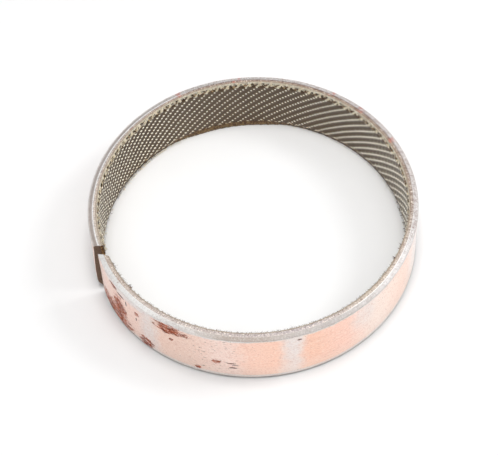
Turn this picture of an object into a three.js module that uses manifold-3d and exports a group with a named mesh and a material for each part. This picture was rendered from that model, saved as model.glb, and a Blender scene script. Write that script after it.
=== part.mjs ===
// Rolled split bush: a copper-flashed steel strip lined with woven bronze wire filled with PTFE compound.
// Units are millimetres. The bore runs along +Z and the bush stands on z = 0, centred on the origin.

import * as THREE from "three";
import { mergeVertices } from "three/addons/utils/BufferGeometryUtils.js";
import Module from "manifold-3d";

const OUTER_R = 40;
const BORE_R = 37.5;
const WIDTH = 16.5;

// Layers through the wall, each a thickness measured radially.
const FLASH = 0.05;
const PTFE_FILM = 0.06;
const WEFT_LAYER = 0.22;
const WARP_LAYER = 0.22;
const BOND = 0.06;
const LINER_SETBACK = 0.05;

// Chamfers: the outer one breaks the corner of the strip, the inner one bares both families of wire.
const OUTER_CHAMFER_RADIAL = 1.2;
const OUTER_CHAMFER_AXIAL = 0.55;
const INNER_CHAMFER_RADIAL = 0.34;
const INNER_CHAMFER_AXIAL = 1.7;

// The split: angles from +X towards +Y of the two cut ends of the strip.
const REAR_CUT_OUTSIDE = 195.4;
const REAR_CUT_BORE = 196.7;
const REAR_CUT_SLANT = 1.6;
const FRONT_CUT_OUTSIDE = 198.9;
const FRONT_CUT_BORE = 202.4;
const SPRING_IN = 0.42;
const SPRING_FROM = 198.5;
const SPRING_TO = 225;

const SEGMENTS = 144;

const wasm = await Module();
wasm.setup();

const radians = THREE.MathUtils.degToRad;

function polar(radius, degrees) {
  return new THREE.Vector2(radius * Math.cos(radians(degrees)), radius * Math.sin(radians(degrees)));
}

function solidOf(geometry) {
  const bare = geometry.clone();
  bare.deleteAttribute("normal");
  bare.deleteAttribute("uv");
  const merged = mergeVertices(bare, 1e-5);
  return new wasm.Manifold(
    new wasm.Mesh({
      numProp: 3,
      vertProperties: Float32Array.from(merged.attributes.position.array),
      triVerts: Uint32Array.from(merged.index.array),
    }),
  );
}

function geometryOf(solid) {
  const mesh = solid.getMesh();
  const geometry = new THREE.BufferGeometry();
  geometry.setAttribute("position", new THREE.BufferAttribute(Float32Array.from(mesh.vertProperties), 3));
  geometry.setIndex(new THREE.BufferAttribute(Uint32Array.from(mesh.triVerts), 1));
  return geometry;
}

// A full ring turned from a closed profile of [radius, height] corners.
function ring(profile) {
  const corners = [...profile, profile[0]].map(([r, z]) => new THREE.Vector2(r, z));
  const lathe = new THREE.LatheGeometry(corners, SEGMENTS);
  lathe.rotateX(Math.PI / 2);
  return lathe;
}

// Corners of one wall of the split: a line through two radii, carried a millimetre past each surface.
function cutLine(outsideDegrees, boreDegrees, z) {
  const outside = polar(OUTER_R, outsideDegrees);
  const bore = polar(BORE_R, boreDegrees);
  const past = outside.clone().sub(bore).setLength(1);
  const outer = outside.clone().add(past);
  const inner = bore.clone().sub(past);
  return [
    [outer.x, outer.y, z],
    [inner.x, inner.y, z],
  ];
}

// The wedge of air between the two cut ends. Both cuts lean, and the rear one is out of square:
// REAR_CUT_SLANT degrees further round at the bottom than at the top.
function splitWedge() {
  return wasm.Manifold.hull([
    ...cutLine(REAR_CUT_OUTSIDE + REAR_CUT_SLANT, REAR_CUT_BORE + REAR_CUT_SLANT, 0),
    ...cutLine(REAR_CUT_OUTSIDE + REAR_CUT_SLANT, REAR_CUT_BORE + REAR_CUT_SLANT, -1),
    ...cutLine(REAR_CUT_OUTSIDE, REAR_CUT_BORE, WIDTH),
    ...cutLine(REAR_CUT_OUTSIDE, REAR_CUT_BORE, WIDTH + 1),
    ...cutLine(FRONT_CUT_OUTSIDE, FRONT_CUT_BORE, -1),
    ...cutLine(FRONT_CUT_OUTSIDE, FRONT_CUT_BORE, WIDTH + 1),
  ]);
}

// The front end of the strip sits a little inside the true circle.
function springIn(geometry) {
  const position = geometry.attributes.position;
  for (let i = 0; i < position.count; i += 1) {
    const x = position.getX(i);
    const y = position.getY(i);
    const degrees = (THREE.MathUtils.radToDeg(Math.atan2(y, x)) + 360) % 360;
    if (degrees > SPRING_FROM && degrees < SPRING_TO) {
      const share = (SPRING_TO - degrees) / (SPRING_TO - SPRING_FROM);
      const radius = Math.hypot(x, y);
      const scale = (radius - SPRING_IN * share * share) / radius;
      position.setXY(i, x * scale, y * scale);
    }
  }
  return geometry;
}

const wedge = splitWedge();

function splitShell(name, profile, material) {
  const cut = solidOf(ring(profile)).subtract(wedge);
  const geometry = springIn(geometryOf(cut));
  geometry.computeVertexNormals();
  const mesh = new THREE.Mesh(geometry, new THREE.MeshStandardMaterial(material));
  mesh.name = name;
  return mesh;
}

const flashInnerR = OUTER_R - FLASH;
const weftInnerR = BORE_R + PTFE_FILM;
const warpInnerR = weftInnerR + WEFT_LAYER;
const bondInnerR = warpInnerR + WARP_LAYER;
const steelInnerR = bondInnerR + BOND;
const faceOuterR = OUTER_R - OUTER_CHAMFER_RADIAL;
const faceInnerR = BORE_R + INNER_CHAMFER_RADIAL;
const low = LINER_SETBACK;
const high = WIDTH - LINER_SETBACK;

// Height of the outer chamfer above the end face at a given radius.
function outerChamfer(r) {
  return (OUTER_CHAMFER_AXIAL * (r - faceOuterR)) / OUTER_CHAMFER_RADIAL;
}

// Depth of the inner chamfer below the liner's edge at a given radius.
function innerChamfer(r) {
  return (INNER_CHAMFER_AXIAL * (faceInnerR - r)) / INNER_CHAMFER_RADIAL;
}

const bush = new THREE.Group();
bush.name = "mesh_lined_split_bush";

bush.add(
  splitShell(
    "steel_backing",
    [
      [steelInnerR, 0],
      [faceOuterR, 0],
      [flashInnerR, outerChamfer(flashInnerR)],
      [flashInnerR, WIDTH - outerChamfer(flashInnerR)],
      [faceOuterR, WIDTH],
      [steelInnerR, WIDTH],
    ],
    { color: 0xb4b0ab, roughness: 0.42, metalness: 1 },
  ),
);

bush.add(
  splitShell(
    "copper_flash",
    [
      [flashInnerR, outerChamfer(flashInnerR)],
      [OUTER_R, OUTER_CHAMFER_AXIAL],
      [OUTER_R, WIDTH - OUTER_CHAMFER_AXIAL],
      [flashInnerR, WIDTH - outerChamfer(flashInnerR)],
    ],
    { color: 0xe0a184, roughness: 0.36, metalness: 1 },
  ),
);

bush.add(
  splitShell(
    "bond_layer",
    [
      [bondInnerR, low],
      [steelInnerR, low],
      [steelInnerR, high],
      [bondInnerR, high],
    ],
    { color: 0x8a6a4c, roughness: 0.7, metalness: 0.6 },
  ),
);

bush.add(
  splitShell(
    "warp_wires",
    [
      [warpInnerR, low + innerChamfer(warpInnerR)],
      [faceInnerR, low],
      [bondInnerR, low],
      [bondInnerR, high],
      [faceInnerR, high],
      [warpInnerR, high - innerChamfer(warpInnerR)],
    ],
    { color: 0xb49a5c, roughness: 0.4, metalness: 1 },
  ),
);

bush.add(
  splitShell(
    "weft_wires",
    [
      [weftInnerR, low + innerChamfer(weftInnerR)],
      [warpInnerR, low + innerChamfer(warpInnerR)],
      [warpInnerR, high - innerChamfer(warpInnerR)],
      [weftInnerR, high - innerChamfer(weftInnerR)],
    ],
    { color: 0xc8b070, roughness: 0.38, metalness: 1 },
  ),
);

bush.add(
  splitShell(
    "ptfe_liner",
    [
      [BORE_R, low + innerChamfer(BORE_R)],
      [weftInnerR, low + innerChamfer(weftInnerR)],
      [weftInnerR, high - innerChamfer(weftInnerR)],
      [BORE_R, high - innerChamfer(BORE_R)],
    ],
    { color: 0x585048, roughness: 0.55, metalness: 0 },
  ),
);

export default bush;
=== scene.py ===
import math

import bpy
import numpy as np
from mathutils import Matrix, Vector


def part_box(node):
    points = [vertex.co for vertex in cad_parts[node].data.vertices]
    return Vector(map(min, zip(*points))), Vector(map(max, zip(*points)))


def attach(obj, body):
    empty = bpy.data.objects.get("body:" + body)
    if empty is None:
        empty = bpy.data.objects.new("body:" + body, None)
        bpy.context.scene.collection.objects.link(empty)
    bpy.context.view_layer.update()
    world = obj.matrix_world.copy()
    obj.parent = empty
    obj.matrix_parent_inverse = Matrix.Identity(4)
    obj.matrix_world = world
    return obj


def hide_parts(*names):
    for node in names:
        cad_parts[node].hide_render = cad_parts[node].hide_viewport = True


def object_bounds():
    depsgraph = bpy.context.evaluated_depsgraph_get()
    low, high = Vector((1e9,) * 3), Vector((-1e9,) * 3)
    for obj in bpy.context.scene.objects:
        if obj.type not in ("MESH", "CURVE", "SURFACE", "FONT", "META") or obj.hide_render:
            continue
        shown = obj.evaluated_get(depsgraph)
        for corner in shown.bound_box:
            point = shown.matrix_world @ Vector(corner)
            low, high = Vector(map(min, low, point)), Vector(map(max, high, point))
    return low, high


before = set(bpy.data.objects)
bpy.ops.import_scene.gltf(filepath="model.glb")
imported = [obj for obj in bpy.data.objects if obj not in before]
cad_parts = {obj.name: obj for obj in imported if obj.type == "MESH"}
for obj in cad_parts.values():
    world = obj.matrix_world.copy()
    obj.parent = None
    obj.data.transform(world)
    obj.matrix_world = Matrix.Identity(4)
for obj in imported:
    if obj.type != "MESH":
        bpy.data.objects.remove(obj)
CAD_BOX = [[float(v) for v in corner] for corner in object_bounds()]

MM = 0.001


def outer_radius(node):
    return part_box(node)[1][0] / MM


# The compound's thickness over the wires.
PTFE_FILM = 0.06

OUTER_R = outer_radius("copper_flash")
FLASH_R = outer_radius("steel_backing")
STEEL_R = outer_radius("bond_layer")
BOND_R = outer_radius("warp_wires")
BORE_R = outer_radius("ptfe_liner") - PTFE_FILM
WIDTH = CAD_BOX[1][2] / MM
WALL = OUTER_R - BORE_R
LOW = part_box("bond_layer")[0][2] / MM
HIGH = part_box("bond_layer")[1][2] / MM

# Chamfers, radially and axially. The outer one was turned a little off centre: widest at the back.
OUTER_RADIAL = 1.2
OUTER_AXIAL = 0.55
CHAMFER_DRIFT = 0.15
INNER_RADIAL = 0.34
INNER_AXIAL = 1.7
FRONT_CUT = 198.9
REAR_CUT = 555.4
FRONT_LEAN = 3.5
REAR_LEAN = 1.3
# The rear cut is out of square: this many degrees further round at the bottom.
REAR_SLANT = 1.6
SPRING_IN = 0.42
SPRING_START = 198.5
SPRING_END = 225.0
# Angles round the strip are counted from here, in the open split, so its rear end is past 360.
INSIDE_SPLIT = 198.6
# The lean of each cut and the slant fade out over this many degrees from the end of the strip.
LEAN_FADE = 8.0

# Spacing of the columns of vertices round the metal, the bond line and the compound.
METAL_SPACING = 0.3
BOND_SPACING = 0.8
LINER_SPACING = 0.2
DETAIL = 1.0


# ---------------- the strip's own space


def smooth(edge0, edge1, x):
    t = np.clip((x - edge0) / (edge1 - edge0), 0.0, 1.0)
    return t * t * (3.0 - 2.0 * t)


def place(theta, radius, z):
    """Angle, radius and height on the true circle to a point of the strip as it lies, in metres."""
    theta, radius, z = np.broadcast_arrays(theta, radius, z)
    inward = np.clip((OUTER_R - radius) / WALL, 0.0, 1.2)
    at_front = np.clip(1.0 - (theta - FRONT_CUT) / LEAN_FADE, 0.0, 1.0)
    at_rear = np.clip(1.0 - (REAR_CUT - theta) / LEAN_FADE, 0.0, 1.0)
    slant = REAR_SLANT * (1.0 - z / WIDTH) * at_rear
    angle = np.radians(theta + slant + inward * (FRONT_LEAN * at_front + REAR_LEAN * at_rear))
    spring = np.clip((SPRING_END - theta) / (SPRING_END - SPRING_START), 0.0, 1.0)
    r = radius - SPRING_IN * spring**2
    return np.stack([r * np.cos(angle), r * np.sin(angle), z], axis=-1) * MM


def wave_noise(theta, z, seed, scale=1.0, octaves=4):
    """Smooth repeatable noise of about unit size over the developed strip."""
    rng = np.random.default_rng(seed)
    total = np.zeros(np.broadcast(theta, z).shape)
    s = np.radians(theta) * BORE_R
    size = 1.0
    weight = 1.0
    norm = 0.0
    for _ in range(octaves):
        for _ in range(3):
            heading = rng.uniform(0, 2 * math.pi)
            phase = rng.uniform(0, 2 * math.pi)
            k = 2 * math.pi * size / scale * rng.uniform(0.7, 1.3)
            total = total + weight * np.sin(k * (s * math.cos(heading) + z * math.sin(heading)) + phase)
        norm += weight * 1.2
        size *= 2.1
        weight *= 0.6
    return total / norm


# ---------------- meshes


def make_object(name, verts, faces, materials, face_slots=None):
    mesh = bpy.data.meshes.new(name)
    mesh.from_pydata(verts.tolist(), [], faces)
    for material in materials:
        mesh.materials.append(material)
    if face_slots is not None:
        mesh.polygons.foreach_set("material_index", face_slots)
    mesh.polygons.foreach_set("use_smooth", np.full(len(mesh.polygons), True))
    mesh.validate()
    mesh.update()
    obj = add_object(name, mesh)
    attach(obj, "root")
    return obj


def add_part(verts, faces, part):
    """Adds a (points, faces) part to the lists that one mesh is gathered in."""
    points, own_faces = part
    base = sum(len(group) for group in verts)
    verts.append(points)
    faces.extend([tuple(base + v for v in face) for face in own_faces])


def add_object(name, data):
    obj = bpy.data.objects.new(name, data)
    bpy.context.scene.collection.objects.link(obj)
    return obj


def strip_columns(spacing):
    count = int(math.radians(REAR_CUT - FRONT_CUT) * OUTER_R / (spacing / DETAIL))
    return np.linspace(FRONT_CUT, REAR_CUT, count + 1)


def loft(name, thetas, radius, height, materials):
    """A closed band: radius and height are (column, profile point) arrays, capped at both cut ends."""
    columns, points = radius.shape
    verts = place(thetas[:, None], radius, height).reshape(-1, 3)
    faces = tube_quads(columns, points)[:, [0, 3, 2, 1]].tolist()
    faces.append(list(range(points)))
    faces.append(list(range((columns - 1) * points, columns * points))[::-1])
    slots = np.zeros(len(faces), dtype=np.int32)
    slots[-2:] = len(materials) - 1
    obj = make_object(name, verts, faces, materials, slots)
    for cap in (len(faces) - 2, len(faces) - 1):
        obj.data.polygons[cap].use_smooth = False
    return obj


def tube_quads(rings, sides):
    """Quads of a tube whose points are gathered ring by ring."""
    i = np.arange(rings - 1)[:, None] * sides
    j = np.arange(sides)[None, :]
    nxt = (j + 1) % sides
    return np.stack([i + j, i + nxt, i + sides + nxt, i + sides + j], axis=-1).reshape(-1, 4)


def spread(a, b, count):
    """count points from a towards b, without b."""
    t = np.arange(count)[:, None] / count
    return np.asarray(a, float) * (1 - t) + np.asarray(b, float) * t


def rounded(corners, radius, steps=3):
    """Corners (radius, height) replaced by small fillets, as a longer list of (radius, height) points."""
    out = []
    n = len(corners)
    for i, (r, z) in enumerate(corners):
        p = np.array([r, z])
        a = np.array(corners[i - 1]) - p
        b = np.array(corners[(i + 1) % n]) - p
        cut = min(radius, 0.45 * np.linalg.norm(a), 0.45 * np.linalg.norm(b))
        a = p + a / np.linalg.norm(a) * cut
        b = p + b / np.linalg.norm(b) * cut
        for k in range(steps + 1):
            t = k / steps
            q = (1 - t) ** 2 * a + 2 * t * (1 - t) * p + t * t * b
            out.append((q[0], q[1]))
    return out


def end_roll(theta, radius, z):
    """Outward set of the wall beside the rear cut, less the rolled-over bottom corner there."""
    near = smooth(REAR_CUT - 7.0, REAR_CUT, theta)
    outside = np.clip((radius - BOND_R) / (OUTER_R - BOND_R), 0.0, 1.0)
    flare = 0.5 * smooth(0.6, 3.5, z) * smooth(WIDTH, 6.0, z)
    corner = 0.9 * smooth(2.6, 0.0, z) * smooth(REAR_CUT - 3.0, REAR_CUT, theta)
    return near * outside * (flare - corner)


def outer_chamfer(r):
    return OUTER_AXIAL * (r - (OUTER_R - OUTER_RADIAL)) / OUTER_RADIAL


def slivers(rng, count, start, end, root, aim, length, width, tilt=0, scatter=0.45):
    """Torn slivers along a rim: bent, tapering three-sided horns. root and aim are (radius, height) pairs.

    A tilt leans them all one way round the rim, at their full length."""
    horn = tube_quads(4, 3)
    verts = []
    faces = []
    for _ in range(count):
        theta = rng.uniform(start, end)
        reach = length * (1 if tilt else rng.uniform(0.35, 1) ** 1.6)
        thick = width * rng.uniform(0.6, 1.3)
        slant = rng.normal(tilt, scatter)
        curl = rng.normal(0, 0.5)
        lift = rng.normal(0, 0.25)
        base = len(verts)
        for t in (0, 0.4, 0.75, 1):
            bend = t * t * curl
            s = reach * (slant * t + bend)
            r = root[0] + reach * aim[0] * t
            z = root[1] + reach * (aim[1] * t + lift * t * t)
            half = thick * (1 - 0.8 * t)
            for ds, dz in ((-half, -half * 0.5), (half, -half * 0.5), (0, half)):
                level = min(max(z + dz, 0.01), WIDTH - 0.005)
                verts.append((theta + math.degrees((s + ds) / BORE_R), r, level))
        faces.extend((horn + base).tolist())
        faces.append((base + 2, base + 1, base))
        faces.append((base + 9, base + 10, base + 11))
    corners = np.array(verts)
    return place(corners[:, 0], corners[:, 1], corners[:, 2]), faces


def row_angle(n, z):
    """Angle of the n-th row of knuckles at height z."""
    return math.degrees((n * ROW_PITCH + z * ROW_SLANT) / BORE_R)


def tufts(rng, start, end):
    """Torn wire on the upper chamfer: where each row of knuckles ends, two sprays that open like a V."""
    verts = []
    faces = []
    for n in TUFT_ROWS:
        depth = rng.uniform(1.35, 1.85)
        middle = row_angle(n, HIGH - depth) + 0.4
        if not start < middle < end:
            continue
        root = (BORE_R + 0.03, HIGH - depth)
        left = float(smooth(465, 500, middle))
        inward = max(left, 0.6 * float(smooth(415, 390, middle)))
        aim = (0.02 - 0.3 * inward, 0.92)
        for tilt in (-0.55, 0.6):
            count = int(rng.integers(3, 6)) + round(left)
            length = depth * rng.uniform(0.85, 1.15)
            spray = slivers(rng, count, middle - 0.3, middle + 0.3, root, aim, length, 0.14, tilt, 0.2)
            add_part(verts, faces, spray)
    return np.concatenate(verts), faces


def densify(points, step):
    out = []
    for n, p in enumerate(points):
        q = points[(n + 1) % len(points)]
        count = max(1, round(math.dist(p, q) / step))
        out.append(spread(p, q, count))
    return np.concatenate(out)


def along_strip(section, thetas):
    """Radius and height of a section of (radius, height) points, repeated at every column."""
    count = len(thetas)
    return np.repeat(section[None, :, 0], count, axis=0), np.repeat(section[None, :, 1], count, axis=0)


def make_steel(materials):
    face_r = OUTER_R - OUTER_RADIAL
    corner = outer_chamfer(FLASH_R)
    corners = [
        (STEEL_R, 0),
        (face_r, 0),
        (FLASH_R, corner),
        (FLASH_R, WIDTH - corner),
        (face_r, WIDTH),
        (STEEL_R, WIDTH),
    ]
    section = densify(rounded(corners, 0.07), 0.22)
    thetas = strip_columns(METAL_SPACING)
    radius, height = along_strip(section, thetas)
    # The corner between end face and chamfer drifts with the off-centre turning.
    drift = CHAMFER_DRIFT * np.sin(np.radians(thetas))[:, None]
    on_chamfer = (FLASH_R - radius) / (FLASH_R - face_r)
    on_face = (radius - STEEL_R) / (face_r - STEEL_R)
    radius = radius - drift * np.clip(np.minimum(on_chamfer, on_face), 0, 1)
    # The turned faces carry a shallow waviness; the tall inside wall stays true.
    edge = smooth(0.6, 0.1, np.minimum(height, WIDTH - height))
    wobble = wave_noise(thetas[:, None], height, 11, 9, 3)
    fine = wave_noise(thetas[:, None], height * 2, 12, 2.4, 2)
    radius = radius - edge * (0.012 * wobble + 0.004 * fine + 0.006)
    inset = edge * np.abs(0.01 * wave_noise(thetas[:, None], radius * 2, 13, 6, 4))
    height = np.where(height > WIDTH / 2, height - inset, height + inset)
    radius = radius + end_roll(thetas[:, None], radius, height)
    return loft("steel_strip", thetas, radius, height, materials)


def make_copper(materials):
    corner = outer_chamfer(FLASH_R)
    corners = [
        (FLASH_R, corner),
        (OUTER_R, OUTER_AXIAL),
        (OUTER_R, WIDTH - OUTER_AXIAL),
        (FLASH_R, WIDTH - corner),
    ]
    counts = (2, 34, 2, 3)
    sides = [spread(corners[i], corners[(i + 1) % 4], counts[i]) for i in range(4)]
    section = np.concatenate(sides)
    thetas = strip_columns(METAL_SPACING)
    radius, height = along_strip(section, thetas)
    skin = np.zeros(len(section))
    skin[counts[0] : counts[0] + counts[1]] = 1
    waves = wave_noise(thetas[:, None], height, 21, 14, 3)
    fine = wave_noise(thetas[:, None] * 0.35, height * 2, 22, 1.6, 3)
    radius = radius - skin * (0.01 + 0.009 * waves + 0.0025 * fine)
    radius = radius + end_roll(thetas[:, None], radius, height)
    return loft("copper_skin", thetas, radius, height, materials)


def make_bond(materials):
    corners = [(BOND_R, LOW), (STEEL_R, LOW), (STEEL_R, HIGH), (BOND_R, HIGH)]
    section = densify(corners, 1)
    thetas = strip_columns(BOND_SPACING)
    radius, height = along_strip(section, thetas)
    return loft("bond_line", thetas, radius, height, materials)


# ---------------- woven lining

# Both wire families run at about 40 degrees to the circumference. A vector is one step along a wire of
# its family, from crossing to crossing, as (arc, height).
WARP_STEP = np.array([-0.708, 0.6])
WEFT_STEP = np.array([1.32, 1.12])
CELL_AREA = float(WARP_STEP[0] * WEFT_STEP[1] - WARP_STEP[1] * WEFT_STEP[0])
# Rows of knuckles follow the warp: their spacing round the bore, and the arc that they run per height.
ROW_PITCH = float(WEFT_STEP[0] - WARP_STEP[0] * WEFT_STEP[1] / WARP_STEP[1])
ROW_SLANT = float(WARP_STEP[0] / WARP_STEP[1])
# Rows, numbered round the strip, that may end on the upper chamfer where tufts stand.
TUFT_ROWS = range(82, 148)
WIRE_WIDE = 0.19
WIRE_TALL = 0.125
OVER_R = BORE_R + PTFE_FILM
UNDER_R = BOND_R - WIRE_TALL

# The compound is smeared over the top of the upper chamfer and torn out between the wires below that.
SMEAR = 0.65


def chamfer_radius(theta, z):
    """Radius of the lining's inner surface: the bore, or the uneven chamfer near either rim."""
    depth = np.minimum(z - LOW, HIGH - z)
    near = smooth(0.9, 0, depth)
    uneven = 1 + 0.1 * wave_noise(theta, 0 * z, 33, 6, 3)
    ragged = near * (0.2 * wave_noise(theta, z * 2, 34, 1.5, 4) - 0.1)
    return BORE_R + INNER_RADIAL * np.clip(uneven + ragged - depth / INNER_AXIAL, 0, 1.3)


def lower_lip(theta, z):
    """How far the smeared compound stands inward at the foot of the bore, on the side away from the front."""
    span = smooth(72 + 360, 86 + 360, theta) * smooth(122 + 360, 108 + 360, theta)
    return span * smooth(LOW + 1.3, LOW + 0.3, z) * (INNER_RADIAL + 0.36)


def inner_depth(z):
    """Depth below the nearer rim as a share of the inner chamfer's."""
    return np.minimum(z - LOW, HIGH - z) / INNER_AXIAL


def weave_relief(theta, z):
    """One on a knuckle, less along the row between two, nothing in the groove between rows of knuckles."""
    arc = np.radians(theta) * BORE_R
    warp = (arc * WEFT_STEP[1] - z * WEFT_STEP[0]) / CELL_AREA
    weft = (WARP_STEP[0] * z - WARP_STEP[1] * arc) / CELL_AREA
    on_row = 0.5 + 0.5 * np.cos(2 * math.pi * weft)
    on_knuckle = 0.5 + 0.5 * np.cos(2 * math.pi * warp)
    return on_row**0.8 * (0.55 + 0.45 * on_knuckle)


def rubbed(theta):
    """How much more of each knuckle the shaft has bared at this angle round the strip."""
    return 1.4 * smooth(458, 505, theta) + 1.7 * smooth(440, 385, theta)


def make_wires(name, step, other, crest, lean, per_crossing, materials, seed):
    """Every wire of one family: a tube that goes over and under the other family, cut flat at the bore.

    crest sets how peaked its knuckles are, and lean how far its bared ends are dragged round the rim."""
    rng = np.random.default_rng(seed)
    sides = 10 if DETAIL == 1.0 else 6
    front = math.radians(FRONT_CUT + 0.2) * BORE_R
    rear = math.radians(REAR_CUT - 0.1) * BORE_R
    along = step / np.linalg.norm(step)
    lateral = np.array([-along[1], along[0]])
    # Stepping by `other` moves to the next wire of this family.
    reach = other[0] - step[0] * other[1] / step[1]
    run = abs(step[0] / step[1]) * WIDTH + 4
    first = math.floor((front - run) / abs(reach))
    last = math.ceil((rear + run) / abs(reach))
    verts = []
    faces = []
    base = 0
    sign = 1 if reach > 0 else -1
    for n in range(first, last + 1):
        k = sign * n
        origin = k * other
        jitter = rng.normal(0, 0.025, 2)
        # Heights limit the run of the wire, and so do the two cut ends of the strip.
        t_lo = (LOW + 0.02 - origin[1]) / step[1]
        t_hi = (HIGH - 0.02 - origin[1]) / step[1]
        edges = sorted(((front - origin[0]) / step[0], (rear - origin[0]) / step[0]))
        t_lo = max(t_lo, edges[0])
        t_hi = min(t_hi, edges[1])
        if t_hi - t_lo < 0.4:
            continue
        grid = np.arange(math.ceil(t_lo * per_crossing), math.floor(t_hi * per_crossing) + 1) / per_crossing
        t = np.concatenate([[t_lo], grid[(grid > t_lo + 0.02) & (grid < t_hi - 0.02)], [t_hi]])
        phase = math.pi * (t + k)
        if name == "weft_wires_woven":
            phase = phase + math.pi
        lift = 1 - 2 * np.abs(np.sin(phase / 2)) ** crest
        middle = (OVER_R + UNDER_R) / 2
        swing = (UNDER_R - OVER_R) / 2
        wander = 0.03 * np.sin(t * 0.9 + rng.uniform(0, 6.28)) + jitter[0]
        knuckle_noise = rng.normal(0, 0.01, 4 + int(t_hi - t_lo))
        index = np.clip(np.round(t - t_lo).astype(int), 0, len(knuckle_noise) - 1)
        worn = rubbed(np.degrees((origin[0] + t * step[0]) / BORE_R))
        bared = 0.085 * worn
        centre_r = middle - swing * lift + (knuckle_noise[index] - bared) * np.clip(lift, 0, 1) ** 1.7
        centre = origin + t[:, None] * step + wander[:, None] * lateral
        flat = np.clip(lift, 0, 1) ** 2
        wide = WIRE_WIDE * (1 + (0.35 + 0.25 * worn) * flat)
        tall = WIRE_TALL * (1 - 0.08 * np.abs(lift) ** 4)
        angle = np.arange(sides) / sides * 2 * math.pi
        off = wide[:, None] * np.cos(angle)
        s = centre[:, 0:1] + lateral[0] * off
        z = centre[:, 1:2] + lateral[1] * off
        r = centre_r[:, None] - tall[:, None] * np.sin(angle)
        z = np.clip(z, LOW, HIGH)
        # The chamfer tool has dragged the bared wires upright.
        s = s + lean * np.maximum(z - (HIGH - INNER_AXIAL), 0)
        s = np.clip(s, front - 0.05, rear + 0.02)
        theta = np.degrees(s / BORE_R)
        smeared = 0.1 * smooth(LOW + 1.5, LOW + 0.4, z)
        r = np.maximum(r, chamfer_radius(theta, z) + 0.002 + smeared)
        r = np.minimum(r, BOND_R + 0.005)
        verts.append(place(theta, r, z).reshape(-1, 3))
        rings = len(t)
        quads = tube_quads(rings, sides)
        if step[0] > 0:
            quads = quads[:, ::-1]
        faces.extend((quads + base).tolist())
        last_ring = base + (rings - 1) * sides
        ends = [list(range(base, base + sides)), list(range(last_ring, last_ring + sides))]
        if step[0] > 0:
            ends[1] = ends[1][::-1]
        else:
            ends[0] = ends[0][::-1]
        faces.extend(ends)
        base += rings * sides
    for start, end, count, root, aim, length in FRAY[name]:
        add_part(verts, faces, slivers(rng, count, start, end, root, aim, length, 0.05))
    if name == "warp_wires_woven":
        add_part(verts, faces, tufts(rng, 350, FRAY_END))
    return make_object(name, np.concatenate(verts), faces, materials)


# The rim frays between these angles, most heavily in front.
FRAY_START = FRONT_CUT + 4
FRAY_END = REAR_CUT - 0.5
FRONT_RIM_END = 345

# Frayed wire ends: (from angle, to angle, how many, root radius and height, aim, longest).
TOP_ROOT = (BORE_R + INNER_RADIAL - 0.04, HIGH - 0.1)
FOOT_ROOT = (BORE_R + 0.12, LOW + 0.25)
END_ROOT = (BORE_R + 0.1, HIGH - 1)
FRAY = {
    "warp_wires_woven": (
        (FRAY_START, FRONT_RIM_END, 330, TOP_ROOT, (-0.8, 0.3), 0.62),
        (FRONT_RIM_END, FRAY_END, 230, TOP_ROOT, (-0.7, 0.35), 0.42),
        (FRAY_START, FRAY_END, 420, FOOT_ROOT, (-0.8, -0.1), 0.9),
        (REAR_CUT - 3.5, REAR_CUT + 0.8, 26, END_ROOT, (-0.8, 0.2), 1),
        (541, FRAY_END, 70, (BORE_R + 0.04, HIGH - 2.7), (-0.4, 0.7), 1.4),
    ),
    "weft_wires_woven": (
        (FRAY_START, FRONT_RIM_END, 200, TOP_ROOT, (-0.9, 0.2), 0.5),
        (FRONT_RIM_END, FRAY_END, 180, TOP_ROOT, (-0.8, 0.2), 0.36),
        (475, 515, 160, FOOT_ROOT, (-0.9, 0.05), 1.2),
        (REAR_CUT - 3.5, REAR_CUT + 0.8, 20, END_ROOT, (-0.7, 0.6), 0.9),
    ),
}


def make_liner(materials):
    """The compound: flush between the knuckles in the bore, torn out between the wires on the chamfers."""
    rows = 120 if DETAIL == 1.0 else 44
    rim_rows = 14 if DETAIL == 1.0 else 7
    depth = INNER_AXIAL
    bands = (
        np.linspace(LOW, LOW + depth, rim_rows),
        np.linspace(LOW + depth, HIGH - depth, rows)[1:],
        np.linspace(HIGH - depth, HIGH, rim_rows)[1:],
    )
    z = np.concatenate(bands)
    thetas = strip_columns(LINER_SPACING)
    grid_t = thetas[:, None]
    grid_z = np.repeat(z[None, :], len(thetas), axis=0)
    inner = chamfer_radius(grid_t, grid_z)
    smear_edge = HIGH - grid_z + 0.2 * wave_noise(grid_t, grid_z, 35, 2.6, 3)
    below_smear = smooth(SMEAR - 0.15, SMEAR + 0.15, smear_edge)
    torn = below_smear * smooth(depth, depth * 0.8, HIGH - grid_z)
    torn = torn + 0.25 * smooth(depth * 0.9, depth * 0.5, grid_z - LOW)
    tear = 0.5 + 0.5 * wave_noise(grid_t, grid_z, 31, 1.3, 3)
    valley = 0.5 + 0.5 * wave_noise(grid_t, grid_z, 32, 0.8, 2)
    in_bore = smooth(0.3, 1, inner_depth(grid_z))
    groove = 0.062 + 0.05 * rubbed(grid_t)
    inner = inner + 0.014 + 0.006 * valley
    inner = inner + groove * in_bore * (1 - weave_relief(grid_t, grid_z))
    inner = inner + torn * (0.1 + 0.22 * np.clip(tear, 0, 1))
    inner = inner - 0.012 * (1 - below_smear)
    inner = np.minimum(inner, BOND_R - 0.04) - lower_lip(grid_t, grid_z)
    outer_z = np.array([HIGH, HIGH * 0.66, HIGH * 0.33, LOW])
    radius = np.concatenate([inner, np.full((len(thetas), 4), BOND_R - 0.01)], axis=1)
    height = np.concatenate([grid_z, np.repeat(outer_z[None, :], len(thetas), axis=0)], axis=1)
    return loft("ptfe_compound", thetas, radius[:, ::-1], height[:, ::-1], materials)


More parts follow.
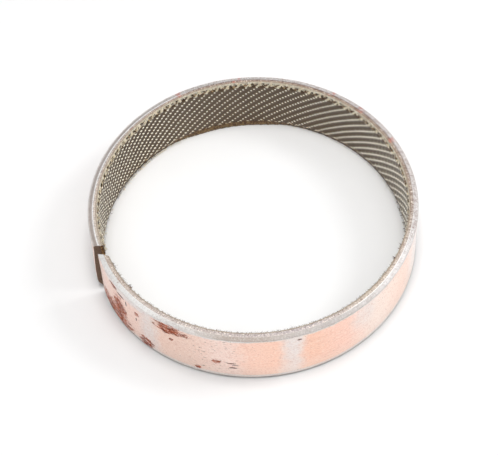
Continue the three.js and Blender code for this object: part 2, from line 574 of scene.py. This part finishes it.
def make_burrs(materials):
    """Dark burrs and curled fibres left on the edges of the bore."""
    rng = np.random.default_rng(51)
    verts = []
    faces = []
    for start, end, count, root, aim, length, width in BURRS:
        add_part(verts, faces, slivers(rng, count, start, end, root, aim, length, width))
    for theta, level, bend, length in FIBRES:
        add_part(verts, faces, fibre(theta, level, bend, length))
    return make_object("rim_burrs", np.concatenate(verts), faces, materials)


def fibre(theta, level, bend, length):
    """One loose fibre: a thin four-sided tube that curls inward from the bore."""
    rings = 14
    t = np.linspace(0, 1, rings)
    heading = bend * t * t * math.pi
    s = np.cumsum(np.cos(heading + 0.8)) / rings * length
    inward = np.cumsum(np.sin(heading + 0.8)) / rings * length
    thick = 0.035 * (1 - 0.6 * t)
    turn = np.arange(4) / 4 * 2 * math.pi
    angle = theta + np.degrees((s[:, None] + thick[:, None] * np.cos(turn)) / BORE_R)
    radius = BORE_R + 0.15 - inward[:, None]
    height = level + 0.15 * t[:, None] + thick[:, None] * np.sin(turn)
    faces = tube_quads(rings, 4).tolist()
    faces.append((3, 2, 1, 0))
    faces.append(tuple(rings * 4 - 4 + j for j in range(4)))
    return place(angle, radius, height).reshape(-1, 3), faces


BURR_ROOT = (BORE_R + 0.36, HIGH - 0.06)

# Dark burrs: (from angle, to angle, how many, root radius and height, aim, longest, half width).
BURRS = (
    (217, 218.4, 9, (BORE_R + 0.4, HIGH - 0.06), (-1, 0.3), 1.1, 0.16),
    (204, 213, 26, BURR_ROOT, (-0.9, 0.3), 0.9, 0.06),
    (213, 300, 110, BURR_ROOT, (-0.9, 0.3), 0.6, 0.05),
    (300, 328, 50, BURR_ROOT, (-0.9, 0.3), 0.7, 0.05),
    (328.5, 330, 8, (BORE_R + 0.4, HIGH - 0.06), (-1, 0.3), 0.9, 0.14),
    (334, 352, 30, (BORE_R + 0.4, HIGH - 0.06), (-1, 0.1), 0.9, 0.12),
    (352, 376, 14, (BORE_R + 0.1, LOW + 0.5), (-0.9, 0), 0.7, 0.1),
    (488, 540, 30, (BORE_R + 0.1, LOW + 0.4), (-0.9, 0), 0.7, 0.06),
    (480, 552, 40, (BORE_R + 0.2, HIGH - 1.7), (-0.5, 0.5), 0.5, 0.06),
    (549, 556, 24, (BORE_R + 0.25, HIGH - 1.2), (-0.6, 0.4), 1.1, 0.09),
    (552, 556.2, 26, (BORE_R + 0.2, HIGH - 2.6), (-0.7, 0.2), 0.9, 0.08),
)

# Loose fibres: (angle, height, curl in half turns, length).
FIBRES = (
    (381, LOW + 0.4, 1.1, 2.4),
    (385, LOW + 0.3, -0.7, 1.6),
    (206.5, HIGH - 0.3, 0.8, 1.3),
    (207.4, HIGH - 0.3, -0.4, 1),
    (281, HIGH - 0.2, 0.9, 0.9),
)


# ---------------- materials


def srgb(r, g, b):
    """A display colour out of 255 as a linear colour with alpha."""

    def linear(c):
        c = c / 255
        return c / 12.92 if c <= 0.04045 else ((c + 0.055) / 1.055) ** 2.4

    return (linear(r), linear(g), linear(b), 1)


class Shader:
    """One node material, with short calls for the nodes that these surfaces use."""

    def __init__(self, name):
        self.material = bpy.data.materials.new(name)
        self.material.use_nodes = True
        self.tree = self.material.node_tree
        self.bsdf = self.tree.nodes["Principled BSDF"]
        self.place = self.tree.nodes.new("ShaderNodeTexCoord").outputs["Object"]
        split = self.node("ShaderNodeSeparateXYZ", self.place)
        self.x, self.y, self.z = [self.times(axis, 1000) for axis in split.outputs]
        flat = self.math("SQRT", self.sum(self.times(self.x, self.x), self.times(self.y, self.y)))
        # Angle along the strip from its front end, and radius with the sprung-in front end put back.
        self.turn = self.angle(INSIDE_SPLIT)
        spring = self.math("DIVIDE", self.minus(SPRING_END, self.turn), SPRING_END - SPRING_START)
        spring = self.math("MINIMUM", self.math("MAXIMUM", spring, 0), 1)
        self.radius = self.sum(flat, self.times(spring, spring, SPRING_IN))

    def feed(self, value, socket):
        if isinstance(value, bpy.types.NodeSocket):
            self.tree.links.new(value, socket)
        else:
            socket.default_value = value

    def set(self, socket, value):
        self.feed(value, self.bsdf.inputs[socket])

    def node(self, kind, *values):
        """A new node, with values fed to its first inputs."""
        node = self.tree.nodes.new(kind)
        for value, socket in zip(values, node.inputs):
            self.feed(value, socket)
        return node

    def math(self, operation, a, b=0, c=0):
        node = self.node("ShaderNodeMath", a, b, c)
        node.operation = operation
        return node.outputs[0]

    def fold(self, operation, values):
        total = values[0]
        for value in values[1:]:
            total = self.math(operation, total, value)
        return total

    def sum(self, *values):
        return self.fold("ADD", values)

    def times(self, *values):
        return self.fold("MULTIPLY", values)

    def most(self, *values):
        return self.fold("MAXIMUM", values)

    def minus(self, a, b):
        return self.math("SUBTRACT", a, b)

    def scaled(self, value, by, plus):
        return self.math("MULTIPLY_ADD", value, by, plus)

    def away(self, a, b):
        """How far apart two values are."""
        return self.math("ABSOLUTE", self.minus(a, b))

    def ease(self, value, low, high, out_low=0, out_high=1):
        """Smooth step from out_low to out_high as value goes from low to high."""
        if low > high:
            low, high, out_low, out_high = high, low, out_high, out_low
        node = self.node("ShaderNodeMapRange", value, low, high, out_low, out_high)
        node.interpolation_type = "SMOOTHSTEP"
        return node.outputs[0]

    def mix(self, factor, a, b):
        """Blend from a to b, each a socket, a display colour out of 255, or a linear colour with alpha."""
        node = self.tree.nodes.new("ShaderNodeMix")
        node.data_type = "RGBA"
        self.feed(factor, node.inputs[0])
        for colour, socket in ((a, node.inputs[6]), (b, node.inputs[7])):
            shown = isinstance(colour, tuple) and len(colour) == 3
            self.feed(srgb(*colour) if shown else colour, socket)
        return node.outputs[2]

    def window(self, centre, half, soft):
        """One near an angle round the strip, nothing away from it."""
        return self.ease(self.away(self.turn, centre), half + soft, half)

    def vector(self, x, y, z):
        return self.node("ShaderNodeCombineXYZ", x, y, z).outputs[0]

    def noise(self, vector, scale, detail, rough, distortion=0):
        node = self.node("ShaderNodeTexNoise", vector)
        node.inputs["Scale"].default_value = scale
        node.inputs["Detail"].default_value = detail
        node.inputs["Roughness"].default_value = rough
        node.inputs["Distortion"].default_value = distortion
        return node.outputs[0]

    def drawn(self, around, up, detail, rough, distortion=0):
        """Noise drawn out round the ring: cycles per mm around and up."""
        where = self.vector(self.times(self.x, around), self.times(self.y, around), self.times(self.z, up))
        return self.noise(where, 1, detail, rough, distortion)

    def spots(self, scale, detail, rough):
        """Even noise over the whole piece, in cycles per metre."""
        return self.noise(self.place, scale, detail, rough)

    def ramp(self, value, stops):
        """Colour ramp over value, from (position, (red, green, blue)) stops in the value's own units."""
        low, high = stops[0][0], stops[-1][0]
        node = self.node("ShaderNodeValToRGB", self.math("DIVIDE", self.minus(value, low), high - low))
        band = node.color_ramp
        band.interpolation = "EASE"
        while len(band.elements) < len(stops):
            band.elements.new(0.5)
        for element, (position, colour) in zip(band.elements, stops):
            element.position = (position - low) / (high - low)
        for element, (position, colour) in zip(band.elements, stops):
            element.color = srgb(*colour)
        return node.outputs[0]

    def angle(self, start):
        """Angle in degrees from +X towards +Y, in the turn of 360 degrees that begins at start."""
        middle = math.radians(start + 180)
        c, s = math.cos(middle), math.sin(middle)
        across = self.minus(self.times(self.y, c), self.times(self.x, s))
        ahead = self.sum(self.times(self.x, c), self.times(self.y, s))
        turn = self.math("ARCTAN2", across, ahead)
        return self.scaled(turn, 180 / math.pi, start + 180)

    def finish(self, base, metallic, rough, relief, strength, distance):
        """The material, from its colour, metallic share, roughness and relief with its height in metres."""
        node = self.tree.nodes.new("ShaderNodeBump")
        node.inputs["Strength"].default_value = strength
        node.inputs["Distance"].default_value = distance
        self.feed(relief, node.inputs["Height"])
        self.set("Normal", node.outputs[0])
        self.set("Base Color", base)
        self.set("Metallic", metallic)
        self.set("Roughness", rough)
        return self.material


def row_distance(sh):
    """Distance from the nearest row of knuckles, as a share of the spacing round the bore."""
    arc = sh.times(sh.turn, math.pi / 180 * BORE_R)
    across = sh.math("DIVIDE", sh.minus(arc, sh.times(sh.z, ROW_SLANT)), ROW_PITCH)
    return sh.away(across, sh.math("ROUND", across))


def knuckle_distance(sh):
    """Distance from the nearest crossing along a row, as a share of the spacing of crossings."""
    arc = sh.times(sh.turn, math.pi / 180 * BORE_R)
    turned = sh.times(arc, float(WEFT_STEP[1]) / CELL_AREA)
    along = sh.minus(turned, sh.times(sh.z, float(WEFT_STEP[0]) / CELL_AREA))
    return sh.away(along, sh.math("ROUND", along))


def edge_height(sh):
    """Height above or below the nearer end face."""
    return sh.math("MINIMUM", sh.z, sh.minus(WIDTH, sh.z))


# Copper left on the upper chamfer and face in short patches: (angle round the strip, half width).
PINK_PATCHES = ((385, 0.7), (403, 1), (416.3, 0.7), (453.5, 1.2), (476, 0.8))


def steel_material():
    sh = Shader("turned_steel")
    drift = sh.math("DIVIDE", sh.y, sh.radius)
    corner = sh.scaled(drift, -CHAMFER_DRIFT, OUTER_R - OUTER_RADIAL)
    past = sh.minus(sh.radius, corner)
    on_face = sh.ease(past, 0.03, -0.03)
    lathe = sh.noise(sh.vector(sh.times(sh.radius, 9), sh.times(sh.z, 9), 0), 1, 3, 0.7)
    around = sh.drawn(0.5, 3, 4, 0.6)
    mottle = sh.spots(2500, 4, 0.7)
    across = sh.vector(sh.times(sh.turn, 2.4), sh.times(sh.radius, 0.7), sh.times(sh.z, 0.7))
    ticks = sh.noise(across, 1, 3, 0.7)
    rough_side = sh.ease(sh.turn, 325, 350, 0.35, 1)
    rough_side = sh.times(rough_side, sh.ease(sh.turn, 500, 470, 0.25, 1))
    # Painted light and shade: the chamfer's tone round the ring is lighter where it faces the lamps at the
    # front left and on the right, and darker at the front.
    chamfer = sh.ramp(sh.turn, (
        (199, (246, 244, 242)),
        (226, (252, 250, 248)),
        (242, (222, 218, 214)),
        (262, (170, 158, 148)),
        (290, (192, 186, 182)),
        (330, (226, 223, 222)),
        (375, (240, 235, 232)),
        (410, (226, 221, 219)),
        (465, (218, 216, 214)),
        (520, (222, 216, 212)),
        (556, (224, 214, 206)),
    ))
    worked = sh.times(sh.ease(around, 0.35, 0.65, 0, 0.35), sh.ease(sh.turn, 226, 246, 0.15, 1))
    chamfer = sh.mix(worked, chamfer, (168, 158, 152))
    chamfer = sh.mix(sh.times(sh.ease(ticks, 0.5, 0.7, 0, 0.6), rough_side), chamfer, (140, 124, 118))
    chamfer = sh.mix(sh.times(sh.ease(mottle, 0.5, 0.6, 0, 0.6), rough_side), chamfer, (164, 134, 128))
    chamfer = sh.mix(sh.times(sh.ease(mottle, 0.46, 0.38, 0, 0.6), rough_side), chamfer, (250, 248, 248))
    turned = sh.times(sh.ease(past, 0.18, 0.32), sh.ease(past, 0.95, 0.75))
    left = sh.ease(sh.turn, 470, 500)
    turned = sh.times(turned, left)
    chamfer = sh.mix(sh.times(turned, 0.45), chamfer, (140, 122, 116))
    chamfer = sh.mix(sh.times(sh.ease(past, 0.85, 1.05, 0, 0.6), left), chamfer, (240, 236, 234))
    face = sh.ramp(sh.turn, (
        (199, (196, 180, 168)),
        (240, (198, 186, 180)),
        (285, (198, 188, 188)),
        (315, (212, 198, 184)),
        (335, (212, 198, 188)),
        (375, (176, 158, 146)),
        (420, (164, 144, 130)),
        (465, (172, 154, 146)),
        (515, (190, 178, 172)),
        (545, (208, 196, 186)),
        (556, (190, 180, 170)),
    ))
    face = sh.mix(sh.times(sh.ease(ticks, 0.42, 0.6, 0, 0.75), rough_side), face, (112, 90, 78))
    face = sh.mix(sh.ease(mottle, 0.46, 0.36, 0, 0.6), face, (120, 92, 82))
    face = sh.mix(sh.ease(mottle, 0.54, 0.62, 0, 0.85), face, (250, 240, 228))
    tan = sh.times(sh.ease(sh.radius, BOND_R + 0.4, BOND_R + 0.02), sh.ease(mottle, 0.35, 0.6))
    tan = sh.times(tan, sh.ease(sh.turn, 280, 330))
    face = sh.mix(sh.times(tan, 0.6), face, (186, 164, 132))
    base = sh.mix(on_face, chamfer, face)
    pink = sh.most(*[sh.window(centre, half, 0.8) for centre, half in PINK_PATCHES])
    pink = sh.times(pink, sh.ease(sh.spots(500, 4, 0.7), 0.42, 0.58))
    base = sh.mix(sh.times(pink, 0.6), base, (206, 116, 100))
    rust = sh.times(sh.ease(sh.spots(420, 5, 0.65), 0.64, 0.72), 0.6)
    base = sh.mix(rust, base, (150, 100, 82))
    away = sh.math("ABSOLUTE", past)
    # Painted highlight: a near-white glint along the corner between chamfer and end face, on the left and at
    # the front right.
    painted_corner_glint = sh.times(sh.ease(away, 0.2, 0.06), sh.window(520, 38, 14))
    painted_corner_glint = sh.most(painted_corner_glint, sh.times(sh.ease(away, 0.12, 0.04), sh.window(325, 18, 12), 0.6))
    dull = sh.times(sh.ease(away, 0.12, 0.03), sh.window(415, 45, 12))
    base = sh.mix(painted_corner_glint, base, (252, 251, 250))
    base = sh.mix(sh.times(dull, 0.6), base, (110, 94, 84))
    # Painted shade: darker towards the bottom, on the lower chamfer beside the floor.
    base = sh.mix(sh.ease(sh.z, 0.65, 0.35, 0, 0.8), base, (96, 86, 80))
    grime = sh.ease(sh.drawn(1.6, 1.6, 3, 0.6, 0.5), 0.6, 0.72)
    base = sh.mix(sh.times(grime, 0.35), base, (120, 104, 94))
    rough = sh.minus(sh.scaled(mottle, 0.25, 0.36), sh.times(painted_corner_glint, 0.2))
    relief = sh.sum(sh.times(lathe, 0.5), sh.sum(sh.times(mottle, 0.6), ticks))
    return sh.finish(base, 0.35, rough, relief, 0.5, 0.00003)


def cut_material():
    """The sheared end of the strip: brown steel streaked along the shear, and the torn golden lining."""
    sh = Shader("sheared_end")
    streak = sh.drawn(6, 0.7, 4, 0.65)
    spots = sh.spots(1500, 4, 0.6)
    base = sh.mix(streak, (84, 62, 48), (146, 118, 98))
    base = sh.mix(sh.ease(spots, 0.55, 0.7), base, (70, 46, 36))
    lining = sh.mix(sh.ease(spots, 0.42, 0.58), (96, 60, 38), (186, 146, 96))
    base = sh.mix(sh.ease(sh.radius, BOND_R + 0.42, BOND_R + 0.3), base, lining)
    # Painted highlight: a near-white glint along the top edge of the end face, outside the lining.
    painted_top_glint = sh.ease(sh.z, WIDTH - 0.35, WIDTH - 0.12)
    base = sh.mix(sh.times(painted_top_glint, sh.ease(sh.radius, BOND_R, BOND_R + 0.3)), base, (240, 237, 234))
    relief = sh.sum(streak, sh.times(spots, 0.4))
    return sh.finish(base, 0.5, sh.scaled(streak, 0.3, 0.4), relief, 0.7, 0.00006)


# Tarnish on the outside: (angle, share of height, half width in degrees, half height as a share, raggedness).
TARNISH = (
    (210, 0.09, 10.5, 0.26, 0.5),
    (214.3, 0.42, 3.6, 0.28, 0.45),
    (227.4, 0.12, 3, 0.12, 0.45),
    (238.2, 0.84, 5.9, 0.11, 0.5),
    (211.6, 0.87, 2.4, 0.055, 0.5),
    (224.1, 0.71, 1, 0.05, 0.5),
    (238.6, 0.61, 0.8, 0.035, 0.6),
    (254.4, 0.4, 1.4, 0.045, 0.9),
    (248, 0.13, 0.9, 0.03, 0.8),
)

# Dark streaks where the flash is scored: (angle, share of height, half width, half height).
SCORES = (
    (259.8, 0.375, 1.6, 0.014),
    (261, 0.33, 1.2, 0.012),
    (260.3, 0.265, 1.5, 0.018),
    (215.8, 0.81, 2.4, 0.022),
    (282.9, 0.88, 0.9, 0.02),
    (218.8, 0.74, 0.35, 0.06),
    (223.6, 0.56, 0.35, 0.04),
)


def copper_material():
    sh = Shader("copper_flash")
    angle = sh.turn
    share = sh.times(sh.z, 1 / WIDTH)
    fine = sh.spots(1100, 5, 0.65)
    coarse = sh.spots(260, 4, 0.6)
    brushed = sh.drawn(0.35, 9, 4, 0.7)
    drawn = sh.drawn(0.05, 2.2, 3, 0.6)

    tint = sh.ramp(sh.sum(angle, sh.scaled(coarse, 7, -3.5)), (
        (199, (250, 226, 216)),
        (210, (248, 220, 208)),
        (222, (250, 222, 210)),
        (233, (244, 214, 199)),
        (245, (242, 214, 200)),
        (258, (246, 222, 212)),
        (267, (250, 212, 194)),
        (275, (250, 210, 190)),
        # Paler at 281: part of the painted softbox reflection.
        (281, (244, 228, 220)),
        (286, (250, 208, 186)),
        (300, (252, 214, 198)),
        (314, (250, 234, 224)),
        (330, (252, 226, 212)),
        (345, (250, 243, 239)),
        (375, (240, 226, 218)),
        (400, (248, 216, 200)),
        (450, (244, 220, 208)),
        (500, (248, 212, 194)),
        (556, (240, 214, 204)),
    ))

    # Worn back to steel: near both edges, in a band beside the split, and where the bush was gripped. The
    # pale upright band near 280 degrees among them is a painted reflection of a softbox.
    wobble = sh.scaled(coarse, 0.08, -0.04)
    top_edge = sh.ease(sh.sum(share, wobble), 0.925, 0.965)
    foot_edge = sh.ease(sh.sum(share, sh.times(wobble, 0.25)), 0.1, 0.08)

    speckle = sh.drawn(2, 3.2, 4, 0.7, 0.3)
    torn_angle = sh.sum(angle, sh.scaled(coarse, 6, -3), sh.scaled(speckle, 5, -2.5))

    def band(centre, half, soft):
        return sh.ease(sh.away(torn_angle, centre), half + soft, half - soft)

    near_top = sh.ease(sh.sum(share, wobble), 0.78, 0.9)
    worn = sh.most(
        sh.times(band(229, 3.6, 2.4), 0.75),
        sh.times(band(219, 13, 3), sh.times(near_top, 0.9)),
        # Painted reflection of a softbox: a pale upright band at 280 degrees.
        sh.times(band(280.2, 3.4, 2.8), sh.ease(share, 0.15, 0.75, 0.35, 0.75)),
        sh.times(band(307.5, 4.5, 2.5), sh.ease(share, 0.15, 0.75), 0.55),
        sh.times(sh.ease(angle, 338, 352, 0, 0.6), sh.ease(angle, 392, 376)),
    )
    grain = sh.ease(sh.scaled(fine, 0.6, sh.times(brushed, 0.4)), 0.38, 0.62)
    worn = sh.times(worn, sh.scaled(grain, 0.45, 0.75))
    worn = sh.most(worn, top_edge, foot_edge)
    steel = sh.mix(fine, (218, 214, 212), (246, 243, 242))
    base = sh.mix(worn, tint, steel)
    base = sh.mix(sh.ease(brushed, 0.48, 0.72, 0, 0.3), base, (206, 160, 140))
    base = sh.mix(sh.ease(speckle, 0.52, 0.66, 0, 0.4), base, (190, 132, 110))
    base = sh.mix(sh.ease(speckle, 0.46, 0.34, 0, 0.5), base, (255, 244, 236))
    base = sh.mix(sh.ease(drawn, 0.45, 0.8, 0, 0.25), base, (252, 238, 230))
    # Painted light: lighter towards the bottom, offsetting the shade near the floor.
    base = sh.mix(sh.ease(share, 0.4, 0.05, 0, 0.3), base, (255, 240, 230))

    drag = sh.ease(sh.drawn(0.12, 4.5, 2, 0.6), 0.56, 0.66)
    drag = sh.times(drag, sh.ease(sh.away(angle, 294), 14, 8))
    base = sh.mix(sh.times(drag, 0.4), base, (226, 172, 148))

    # Tarnish and scoring, each an ellipse with an edge that noise tears.
    tear = sh.drawn(0.45, 1.1, 6, 0.8, 0.5)
    torn = sh.ease(tear, 0.36, 0.64, -1, 1)
    shred = sh.ease(sh.drawn(0.5, 1.8, 4, 0.75), 0.38, 0.62, -1, 1)
    ragged_edge = sh.sum(sh.times(torn, 1.1), sh.times(shred, 0.8))

    def ellipse(height, centre, level, half, tall):
        """Squared distance from the middle of an ellipse, one at its edge."""
        u = sh.math("DIVIDE", sh.minus(angle, centre), half)
        v = sh.math("DIVIDE", sh.minus(height, level), tall)
        return sh.sum(sh.times(u, u), sh.times(v, v))

    spots = []
    for *outline, ragged in TARNISH:
        reach = sh.sum(ellipse(share, *outline), sh.times(ragged_edge, ragged))
        spots.append(sh.ease(reach, 1.15, 0.85))
    stain = sh.most(*spots)
    mottle = sh.ease(sh.spots(700, 5, 0.7), 0.36, 0.66)
    tarnish = sh.mix(mottle, (132, 56, 30), (204, 112, 74))
    flecks = sh.ease(sh.drawn(0.7, 1.7, 5, 0.8, 0.6), 0.53, 0.57)
    stain = sh.times(stain, sh.minus(1, sh.times(flecks, 0.85)))
    base = sh.mix(stain, base, tarnish)
    wavy = sh.sum(share, sh.scaled(tear, 0.06, -0.03))
    score = sh.most(*[sh.ease(ellipse(wavy, *outline), 1.2, 0.5) for outline in SCORES])
    base = sh.mix(sh.times(score, 0.95), base, (104, 58, 46))
    specks = sh.ease(sh.spots(1700, 2, 0.5), 0.7, 0.76)
    scuffed = sh.ease(sh.away(angle, 254), 12, 5)
    specks = sh.most(specks, sh.times(scuffed, sh.ease(sh.drawn(1, 2.2, 3, 0.6), 0.61, 0.66)))
    base = sh.mix(sh.times(specks, 0.6), base, (120, 92, 82))
    metallic = sh.ease(stain, 0, 1, 1, 0.55)
    rough = sh.sum(sh.scaled(brushed, 0.22, 0.3), sh.times(stain, 0.25))
    relief = sh.sum(sh.times(brushed, 0.7), sh.sum(sh.times(fine, 0.4), sh.times(stain, 0.8)))
    return sh.finish(base, metallic, rough, relief, 0.35, 0.00004)


def bond_material():
    sh = Shader("bond")
    grain = sh.spots(2500, 4, 0.6)
    base = sh.mix(grain, (150, 124, 102), (198, 178, 156))
    return sh.finish(base, 0.7, sh.scaled(grain, 0.3, 0.45), grain, 0.6, 0.00003)


def burr_material():
    sh = Shader("burrs")
    grain = sh.spots(1600, 3, 0.6)
    base = sh.mix(sh.ease(grain, 0.35, 0.65), (74, 52, 44), (132, 104, 92))
    pale = sh.times(sh.window(383, 4, 2), 0.9)
    base = sh.mix(pale, base, (226, 214, 190))
    return sh.finish(base, 0.3, sh.scaled(grain, 0.3, 0.4), grain, 0.5, 0.00002)


def bronze_material(name, fresh, worn):
    sh = Shader(name)
    edge = edge_height(sh)
    grain = sh.spots(1800, 4, 0.6)
    coarse = sh.spots(380, 4, 0.6)
    depth = sh.minus(sh.radius, BORE_R)
    in_bore = sh.ease(edge, INNER_AXIAL * 0.75, INNER_AXIAL * 1.05)
    left = sh.ease(sh.turn, 458, 500)
    bared = sh.most(left, sh.ease(sh.turn, 425, 388))
    flat = sh.times(sh.ease(sh.minus(depth, sh.times(bared, 0.06)), 0.055, 0.015), in_bore)
    golden = sh.mix(grain, tuple(int(c * 0.92) for c in fresh), fresh)
    end = sh.ease(edge, LOW + 0.12, LOW + 0.03)
    golden = sh.mix(end, golden, sh.mix(grain, (164, 146, 126), (208, 194, 176)))
    row = row_distance(sh)
    fleck = sh.ease(sh.sum(sh.times(grain, 0.6), sh.times(coarse, 0.4)), 0.44, 0.56)
    hidden = sh.mix(fleck, (92, 50, 32), (206, 178, 134))
    below = sh.ease(sh.sum(edge, sh.scaled(coarse, 0.8, -0.4)), SMEAR * 0.8, SMEAR * 1.1)
    opened = sh.scaled(edge, 0.16, -0.16 * INNER_AXIAL)
    cover = sh.times(sh.ease(sh.sum(row, opened), 0.17, 0.25), below)
    deep = sh.mix(grain, (253, 236, 200), (255, 249, 230))
    dull = sh.mix(fleck, (252, 236, 210), (255, 252, 240))
    deep = sh.mix(below, dull, deep)
    deep = sh.mix(cover, deep, hidden)
    base = sh.mix(sh.ease(edge, INNER_AXIAL * 0.95, INNER_AXIAL * 1.15), deep, golden)
    polished = sh.mix(coarse, worn, (255, 253, 246))
    polished = sh.mix(left, polished, (255, 248, 228))
    base = sh.mix(flat, base, polished)
    # Darker where each wire dips between knuckles along a row: painted shade in the dip, and compound smeared
    # over the wire.
    gap = sh.times(sh.ease(knuckle_distance(sh), 0.28, 0.42), sh.ease(sh.turn, 465, 435, 0.35, 0.85))
    base = sh.mix(sh.times(gap, in_bore), base, (112, 90, 60))
    red = sh.times(sh.ease(coarse, 0.62, 0.7), sh.ease(edge, 2.2, 0.6))
    base = sh.mix(sh.times(red, 0.7), base, (140, 66, 40))
    front = sh.times(sh.ease(sh.turn, 350, 310), sh.ease(edge, 0.7, 0.3))
    base = sh.mix(sh.times(front, 0.85), base, sh.mix(grain, (100, 84, 84), (160, 146, 142)))
    metallic = sh.ease(edge, INNER_AXIAL * 0.9, INNER_AXIAL * 1.1, 0.08, 0.65)
    metallic = sh.sum(metallic, sh.times(bared, flat, 0.33))
    rough = sh.minus(sh.scaled(grain, 0.3, 0.2), sh.times(bared, flat, 0.14))
    return sh.finish(base, metallic, rough, grain, 0.4, 0.00002)


def liner_material():
    sh = Shader("ptfe_compound")
    edge = edge_height(sh)
    row = row_distance(sh)
    ridge = sh.ease(row, 0.2, 0.03)
    grain = sh.spots(2200, 4, 0.6)
    coarse = sh.spots(160, 4, 0.6)
    base = sh.mix(grain, (80, 61, 38), (112, 90, 60))
    # Painted light: lighter along the ridges of the rows of knuckles.
    base = sh.mix(sh.times(ridge, 0.15), base, (140, 120, 84))
    left = sh.ease(sh.turn, 475, 500)
    # Painted shade: darker in the grooves between rows of knuckles, most on the left.
    groove = sh.times(sh.ease(row, 0.26, 0.44), sh.scaled(left, 0.45, 0.5))
    base = sh.mix(groove, base, (60, 41, 25))
    base = sh.mix(sh.ease(coarse, 0.5, 0.75, 0, 0.35), base, (96, 68, 44))
    pit = sh.ease(edge, INNER_AXIAL, INNER_AXIAL * 0.8)
    torn = sh.mix(sh.ease(grain, 0.4, 0.62), (48, 33, 22), (112, 84, 54))
    smeared = sh.mix(sh.ease(grain, 0.38, 0.6), (238, 220, 188), (255, 252, 236))
    from_top = sh.sum(sh.minus(HIGH, sh.z), sh.scaled(coarse, 1.2, -0.6))
    torn = sh.mix(sh.ease(from_top, SMEAR + 0.15, SMEAR - 0.15), torn, smeared)
    base = sh.mix(sh.times(pit, 0.85), base, torn)
    foot = sh.times(sh.window(457, 20, 12), sh.ease(sh.z, LOW + 1.4, LOW + 0.9))
    base = sh.mix(foot, base, sh.mix(sh.ease(grain, 0.4, 0.6), (84, 62, 44), (138, 112, 76)))
    end = sh.ease(edge, LOW + 0.1, LOW + 0.03)
    base = sh.mix(end, base, sh.mix(grain, (156, 140, 124), (200, 188, 172)))
    sh.set("IOR", sh.scaled(left, -0.12, 1.5))
    relief = sh.sum(sh.times(grain, 0.5), sh.times(ridge, 0.5))
    return sh.finish(base, 0, sh.scaled(grain, 0.2, 0.26), relief, 0.4, 0.00003)


def floor_material():
    sh = Shader("paper")
    cloud = sh.spots(22, 5, 0.6)
    darker = (0.905, 0.905, 0.905, 1)
    lighter = (0.925, 0.925, 0.925, 1)
    sh.set("Base Color", sh.mix(sh.ease(cloud, 0.35, 0.7), darker, lighter))
    sh.set("Roughness", 0.9)
    return sh.material


# ---------------- camera, light and floor

# The camera: elevation in degrees, roll in radians, distance and target in outer radii, lens in millimetres.
CAMERA_ELEVATION = 54.03
CAMERA_ROLL = -0.0565
CAMERA_DISTANCE = 10.3146
CAMERA_TARGET = (-0.0247, 0.0991)
SENSOR = 36
LENS = 118.1448
LIGHT_DISTANCE = 0.9


def make_camera():
    elevation = math.radians(CAMERA_ELEVATION)
    unit = OUTER_R * MM
    target = Vector((CAMERA_TARGET[0] * unit, CAMERA_TARGET[1] * unit, 0))
    forward = Vector((0, math.cos(elevation), -math.sin(elevation)))
    right = Vector((1, 0, 0))
    up = right.cross(forward)
    x_axis = right * math.cos(CAMERA_ROLL) + up * math.sin(CAMERA_ROLL)
    y_axis = up * math.cos(CAMERA_ROLL) - right * math.sin(CAMERA_ROLL)
    data = bpy.data.cameras.new("camera")
    data.sensor_width = SENSOR
    data.lens = LENS
    data.clip_start = 0.01
    data.clip_end = 20
    camera = add_object("camera", data)
    matrix = Matrix((x_axis, y_axis, -forward)).transposed().to_4x4()
    matrix.translation = target - forward * (CAMERA_DISTANCE * unit)
    camera.matrix_world = matrix
    bpy.context.scene.camera = camera


def softbox(name, azimuth, elevation, size, power):
    """A square light that faces the bush."""
    data = bpy.data.lights.new(name, "AREA")
    data.shape = "SQUARE"
    data.size = size
    data.energy = power
    flat = math.cos(math.radians(elevation))
    way = Vector((
        flat * math.cos(math.radians(azimuth)),
        flat * math.sin(math.radians(azimuth)),
        math.sin(math.radians(elevation)),
    ))
    obj = add_object(name, data)
    obj.location = way * LIGHT_DISTANCE
    obj.rotation_euler = (-way).to_track_quat("-Z", "Y").to_euler()


def make_stage():
    world = bpy.data.worlds.new("studio")
    bpy.context.scene.world = world
    world.use_nodes = True
    background = world.node_tree.nodes["Background"]
    background.inputs["Color"].default_value = (1, 1, 1, 1)
    background.inputs["Strength"].default_value = 0.24
    softbox("key", 8, 46, 0.25, 1.8)
    softbox("overhead", 0, 90, 0.3, 3.6)
    softbox("ceiling", 0, 90, 1.2, 1.3)
    softbox("front", 270, 65, 0.7, 1.9)
    softbox("back", 90, 65, 0.7, 0.55)
    half = 1.5
    corners = [(-half, -half, 0), (half, -half, 0), (half, half, 0), (-half, half, 0)]
    floor = bpy.data.meshes.new("floor")
    floor.from_pydata(corners, [], [(0, 1, 2, 3)])
    floor.materials.append(floor_material())
    add_object("floor", floor)
    view = bpy.context.scene.view_settings
    view.view_transform = "Standard"
    view.look = "None"


def main():
    steel = steel_material()
    cut = cut_material()
    warp_bronze = bronze_material("warp_bronze", (248, 236, 192), (250, 240, 212))
    weft_bronze = bronze_material("weft_bronze", (250, 240, 200), (252, 244, 218))
    strip = make_steel([steel, cut])
    skin = make_copper([copper_material(), cut])
    line = make_bond([bond_material(), cut])
    warp = make_wires("warp_wires_woven", WARP_STEP, WEFT_STEP, 1.3, 0.45, 8, [warp_bronze], 41)
    weft = make_wires("weft_wires_woven", WEFT_STEP, WARP_STEP, 0.9, -0.8, 12, [weft_bronze], 42)
    liner = make_liner([liner_material(), cut])
    for piece, node, slot in (
        (strip, "steel_backing", "steel"),
        (skin, "copper_flash", "copper"),
        (line, "bond_layer", "bond"),
        (warp, "warp_wires", "bronze_warp"),
        (weft, "weft_wires", "bronze_weft"),
        (liner, "ptfe_liner", "ptfe"),
    ):
        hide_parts(node)
    make_burrs([burr_material()])
    make_stage()
    make_camera()


main()
bpy.context.view_layer.update()
